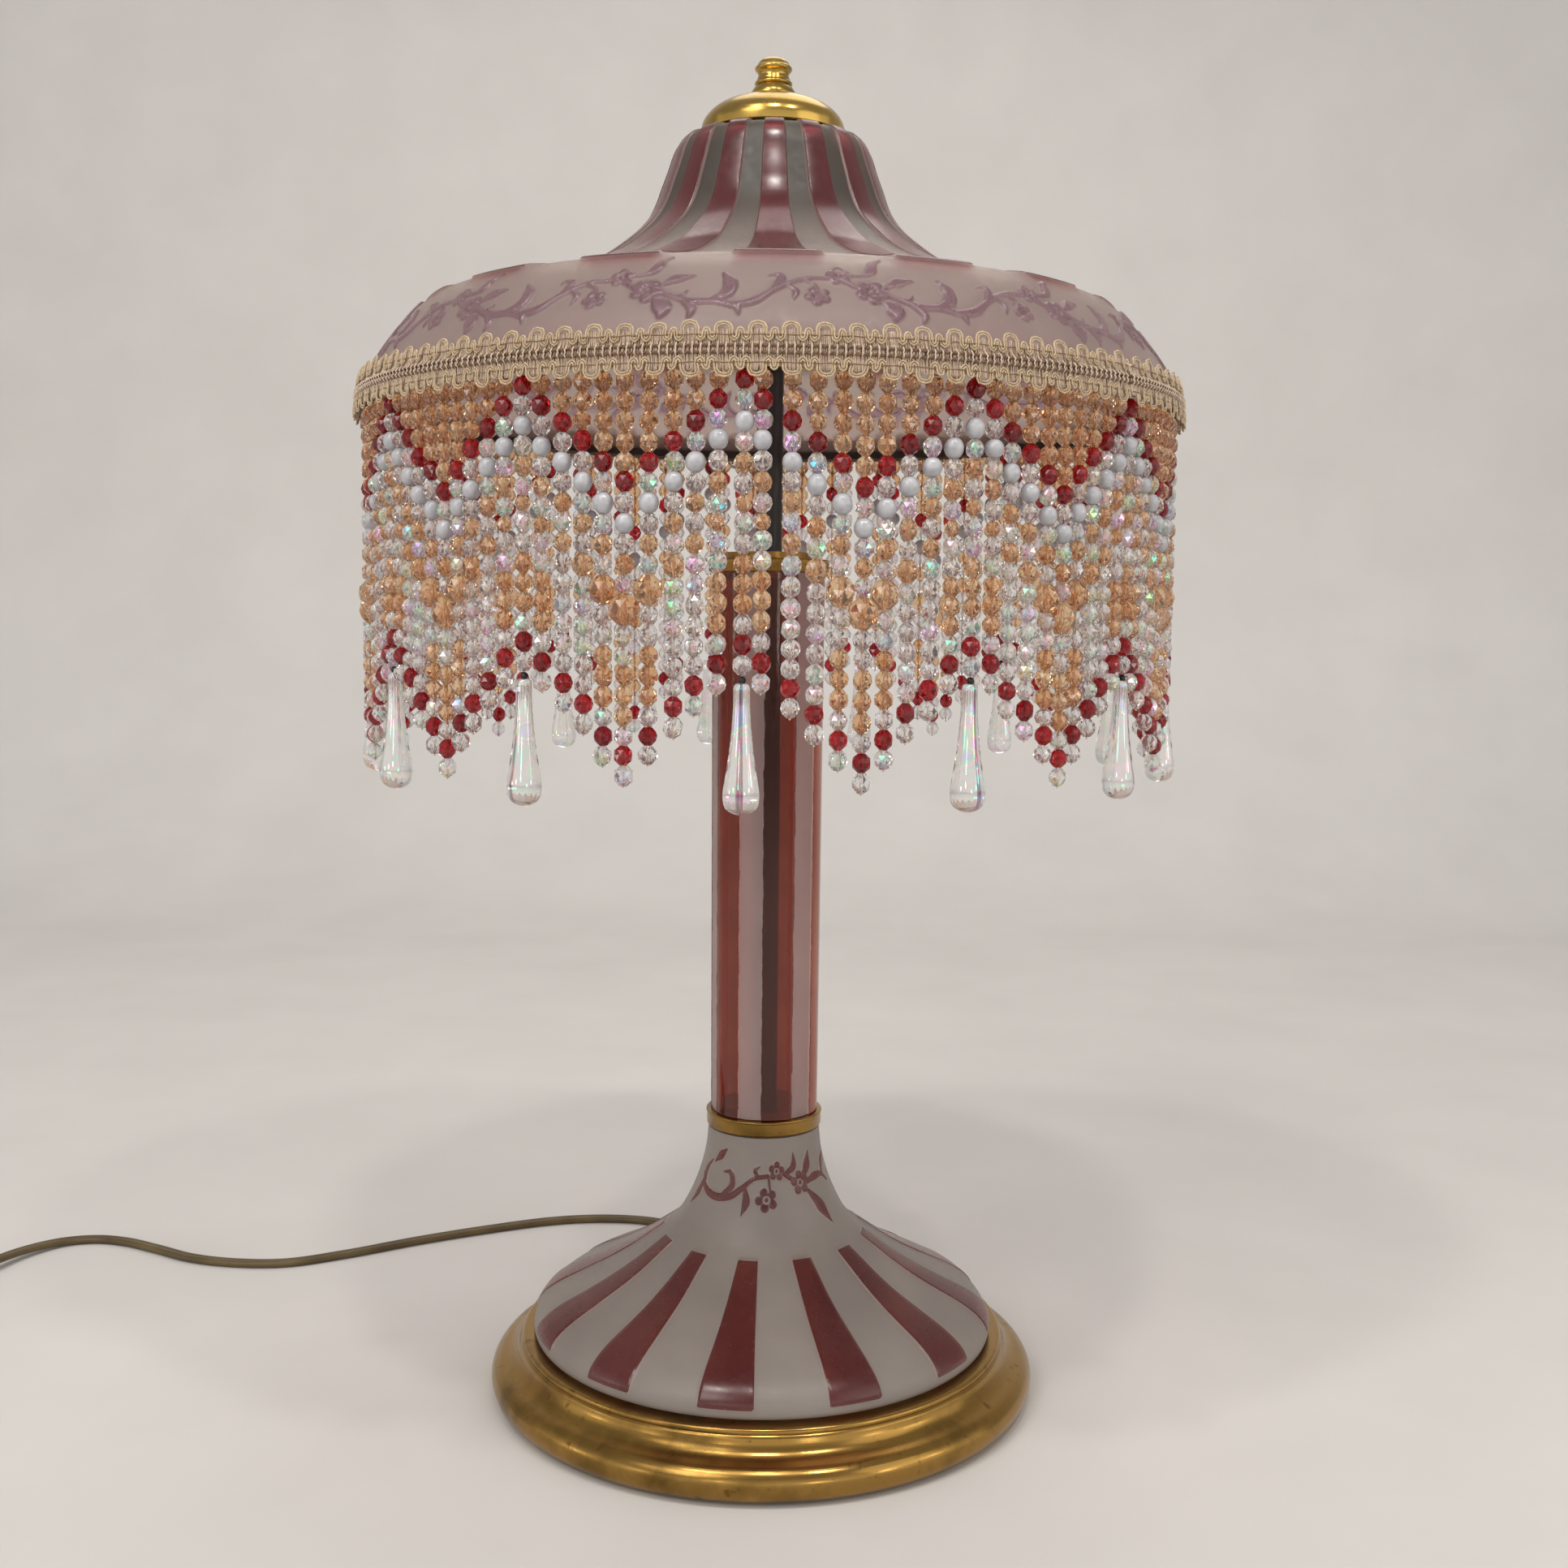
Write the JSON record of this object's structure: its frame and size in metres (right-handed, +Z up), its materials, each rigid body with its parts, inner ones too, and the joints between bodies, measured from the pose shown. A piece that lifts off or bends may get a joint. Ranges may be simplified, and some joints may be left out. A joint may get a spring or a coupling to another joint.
{
  "type": "table lamp",
  "caption": "Table lamp with a frosted cameo-glass base, column and domed shade, brass fittings, gimp braid and a swinging fringe of glass beads with crystal drops.",
  "frame": {"origin": "centre of the felt underside, on the surface the lamp stands on", "axes": "+Z up along the stem, -Y towards the front of the lamp, +Y towards the cord exit at the back"},
  "size_m": [0.6022, 0.3269, 0.506],
  "materials": {
    "felt": "dense green-grey wool felt",
    "brass": "spun and turned brass, lacquered, golden with darker tarnish in the hollows",
    "iron": "rough cast iron",
    "steel": "zinc-plated steel",
    "rubber": "moulded rubber",
    "base_glass": "acid-frosted glass with cased cranberry stripes and a floral band",
    "column_glass": "acid-frosted glass with cased dark cranberry stripes",
    "shade_glass": "acid-frosted glass with cased plum stripes in relief and a vine frieze",
    "black_paint": "satin black enamel",
    "lead": "plastic-insulated wire",
    "phenolic": "moulded phenolic",
    "bulb_glass": "frosted lamp glass",
    "braid": "woven gimp braid in beige and brown cord",
    "bead_fringe": "fire-polished glass beads in amber, ruby, clear and pearl",
    "crystal": "clear iridescent cut-glass drop",
    "cord": "olive-brown flat two-core lamp cord",
    "plug": "brown moulded plug with brass blades"
  },
  "bodies": {
    "stand": {"felt_pad": "felt", "brass_base": "brass", "ballast_weight": "iron", "rod_washer": "steel", "rod_nut": "steel", "cord_relief": "rubber", "base_glass": "base_glass", "lower_collar": "brass", "column_glass": "column_glass", "upper_collar": "brass", "center_pipe": "black_paint", "inner_lead": "lead", "harp_saddle": "brass", "harp": "brass", "socket_cap": "brass", "socket_shell": "brass", "socket_body": "phenolic", "shade_seat": "brass", "cord": "cord", "cord_coil": "cord", "plug": "plug"},
    "switch_key": {"switch_knob": "phenolic"},
    "bulb": {"bulb_glass": "bulb_glass", "bulb_base": "steel"},
    "ferrule_left": {"harp_ferrule_left": "brass"},
    "ferrule_right": {"harp_ferrule_right": "brass"},
    "shade": {"shade_glass": "shade_glass", "shade_cap": "brass", "braid": "braid"},
    "finial_nut": {"finial": "brass"},
    "fringe_01": {"fringe_panel_01": "bead_fringe"},
    "crystal_01": {"drop_01": "crystal"},
    "fringe_02": {"fringe_panel_02": "bead_fringe"},
    "crystal_02": {"drop_02": "crystal"},
    "fringe_03": {"fringe_panel_03": "bead_fringe"},
    "crystal_03": {"drop_03": "crystal"},
    "fringe_04": {"fringe_panel_04": "bead_fringe"},
    "crystal_04": {"drop_04": "crystal"},
    "fringe_05": {"fringe_panel_05": "bead_fringe"},
    "crystal_05": {"drop_05": "crystal"},
    "fringe_06": {"fringe_panel_06": "bead_fringe"},
    "crystal_06": {"drop_06": "crystal"},
    "fringe_07": {"fringe_panel_07": "bead_fringe"},
    "crystal_07": {"drop_07": "crystal"},
    "fringe_08": {"fringe_panel_08": "bead_fringe"},
    "crystal_08": {"drop_08": "crystal"},
    "fringe_09": {"fringe_panel_09": "bead_fringe"},
    "crystal_09": {"drop_09": "crystal"},
    "fringe_10": {"fringe_panel_10": "bead_fringe"},
    "crystal_10": {"drop_10": "crystal"},
    "fringe_11": {"fringe_panel_11": "bead_fringe"},
    "crystal_11": {"drop_11": "crystal"},
    "fringe_12": {"fringe_panel_12": "bead_fringe"},
    "crystal_12": {"drop_12": "crystal"},
    "fringe_13": {"fringe_panel_13": "bead_fringe"},
    "crystal_13": {"drop_13": "crystal"}
  },
  "joints": [
    {"name": "shade_lift", "type": "slide", "parent": "stand", "child": "shade", "axis": [0, 0, 1], "range_m": [0, 0.12]},
    {"name": "finial_turn", "type": "hinge", "parent": "shade", "child": "finial_nut", "pos_m": [0, 0, 0.495], "axis": [0, 0, 1], "continuous": true},
    {"name": "switch_turn", "type": "hinge", "parent": "stand", "child": "switch_key", "pos_m": [0, 0.015, 0.4056], "axis": [0, 1, 0], "continuous": true},
    {"name": "bulb_turn", "type": "hinge", "parent": "stand", "child": "bulb", "pos_m": [0, 0, 0.43], "axis": [0, 0, 1], "continuous": true},
    {"name": "ferrule_left_slide", "type": "slide", "parent": "stand", "child": "ferrule_left", "axis": [0, 0, 1], "range_m": [0, 0.012]},
    {"name": "ferrule_right_slide", "type": "slide", "parent": "stand", "child": "ferrule_right", "axis": [0, 0, 1], "range_m": [0, 0.012]},
    {"name": "fringe_swing_01", "type": "hinge", "parent": "shade", "child": "fringe_01", "pos_m": [-0.00326, -0.14603, 0.3696], "axis": [-0.9998, 0.0223, 0], "range_deg": [-1, 12]},
    {"name": "fringe_swing_02", "type": "hinge", "parent": "shade", "child": "fringe_02", "pos_m": [0.06498, -0.13082, 0.3696], "axis": [-0.8956, -0.4448, 0], "range_deg": [-1, 12]},
    {"name": "fringe_swing_03", "type": "hinge", "parent": "shade", "child": "fringe_03", "pos_m": [0.11833, -0.08564, 0.3696], "axis": [-0.5863, -0.8101, 0], "range_deg": [-1, 12]},
    {"name": "fringe_swing_04", "type": "hinge", "parent": "shade", "child": "fringe_04", "pos_m": [0.14458, -0.02084, 0.3696], "axis": [-0.1427, -0.9898, 0], "range_deg": [-1, 12]},
    {"name": "fringe_swing_05", "type": "hinge", "parent": "shade", "child": "fringe_05", "pos_m": [0.1377, 0.04874, 0.3696], "axis": [0.3336, -0.9427, 0], "range_deg": [-1, 12]},
    {"name": "fringe_swing_06", "type": "hinge", "parent": "shade", "child": "fringe_06", "pos_m": [0.09928, 0.10715, 0.3696], "axis": [0.7335, -0.6797, 0], "range_deg": [-1, 12]},
    {"name": "fringe_swing_07", "type": "hinge", "parent": "shade", "child": "fringe_07", "pos_m": [0.03811, 0.14101, 0.3696], "axis": [0.9654, -0.2609, 0], "range_deg": [-1, 12]},
    {"name": "fringe_swing_08", "type": "hinge", "parent": "shade", "child": "fringe_08", "pos_m": [-0.03178, 0.14257, 0.3696], "axis": [0.976, 0.2176, 0], "range_deg": [-1, 12]},
    {"name": "fringe_swing_09", "type": "hinge", "parent": "shade", "child": "fringe_09", "pos_m": [-0.0944, 0.11147, 0.3696], "axis": [0.7631, 0.6462, 0], "range_deg": [-1, 12]},
    {"name": "fringe_swing_10", "type": "hinge", "parent": "shade", "child": "fringe_10", "pos_m": [-0.13539, 0.05483, 0.3696], "axis": [0.3754, 0.9269, 0], "range_deg": [-1, 12]},
    {"name": "fringe_swing_11", "type": "hinge", "parent": "shade", "child": "fringe_11", "pos_m": [-0.14536, -0.01437, 0.3696], "axis": [-0.0983, 0.9952, 0], "range_deg": [-1, 12]},
    {"name": "fringe_swing_12", "type": "hinge", "parent": "shade", "child": "fringe_12", "pos_m": [-0.12204, -0.08027, 0.3696], "axis": [-0.5496, 0.8355, 0], "range_deg": [-1, 12]},
    {"name": "fringe_swing_13", "type": "hinge", "parent": "shade", "child": "fringe_13", "pos_m": [-0.07075, -0.12779, 0.3696], "axis": [-0.8749, 0.4844, 0], "range_deg": [-1, 12]},
    {"name": "crystal_swing_01", "type": "hinge", "parent": "fringe_01", "child": "crystal_01", "pos_m": [-0.00746, -0.14731, 0.2814], "axis": [-0.9987, 0.0506, 0], "range_deg": [-25, 25]},
    {"name": "crystal_swing_02", "type": "hinge", "parent": "fringe_02", "child": "crystal_02", "pos_m": [0.06185, -0.1339, 0.2814], "axis": [-0.9078, -0.4193, 0], "range_deg": [-25, 25]},
    {"name": "crystal_swing_03", "type": "hinge", "parent": "fringe_03", "child": "crystal_03", "pos_m": [0.117, -0.08982, 0.2814], "axis": [-0.609, -0.7932, 0], "range_deg": [-25, 25]},
    {"name": "crystal_swing_04", "type": "hinge", "parent": "fringe_04", "child": "crystal_04", "pos_m": [0.14534, -0.02516, 0.2814], "axis": [-0.1706, -0.9853, 0], "range_deg": [-25, 25]},
    {"name": "crystal_swing_05", "type": "hinge", "parent": "fringe_05", "child": "crystal_05", "pos_m": [0.14039, 0.04526, 0.2814], "axis": [0.3068, -0.9518, 0], "range_deg": [-25, 25]},
    {"name": "crystal_swing_06", "type": "hinge", "parent": "fringe_06", "child": "crystal_06", "pos_m": [0.10327, 0.10532, 0.2814], "axis": [0.714, -0.7001, 0], "range_deg": [-25, 25]},
    {"name": "crystal_swing_07", "type": "hinge", "parent": "fringe_07", "child": "crystal_07", "pos_m": [0.0425, 0.14125, 0.2814], "axis": [0.9576, -0.2881, 0], "range_deg": [-25, 25]},
    {"name": "crystal_swing_08", "type": "hinge", "parent": "fringe_08", "child": "crystal_08", "pos_m": [-0.02801, 0.14482, 0.2814], "axis": [0.9818, 0.1899, 0], "range_deg": [-25, 25]},
    {"name": "crystal_swing_09", "type": "hinge", "parent": "fringe_09", "child": "crystal_09", "pos_m": [-0.0921, 0.11521, 0.2814], "axis": [0.7811, 0.6244, 0], "range_deg": [-25, 25]},
    {"name": "crystal_swing_10", "type": "hinge", "parent": "fringe_10", "child": "crystal_10", "pos_m": [-0.13509, 0.05921, 0.2814], "axis": [0.4015, 0.9159, 0], "range_deg": [-25, 25]},
    {"name": "crystal_swing_11", "type": "hinge", "parent": "fringe_11", "child": "crystal_11", "pos_m": [-0.14714, -0.01035, 0.2814], "axis": [-0.0702, 0.9975, 0], "range_deg": [-25, 25]},
    {"name": "crystal_swing_12", "type": "hinge", "parent": "fringe_12", "child": "crystal_12", "pos_m": [-0.12547, -0.07754, 0.2814], "axis": [-0.5257, 0.8507, 0], "range_deg": [-25, 25]},
    {"name": "crystal_swing_13", "type": "hinge", "parent": "fringe_13", "child": "crystal_13", "pos_m": [-0.07507, -0.12697, 0.2814], "axis": [-0.8608, 0.5089, 0], "range_deg": [-25, 25]}
  ]
}
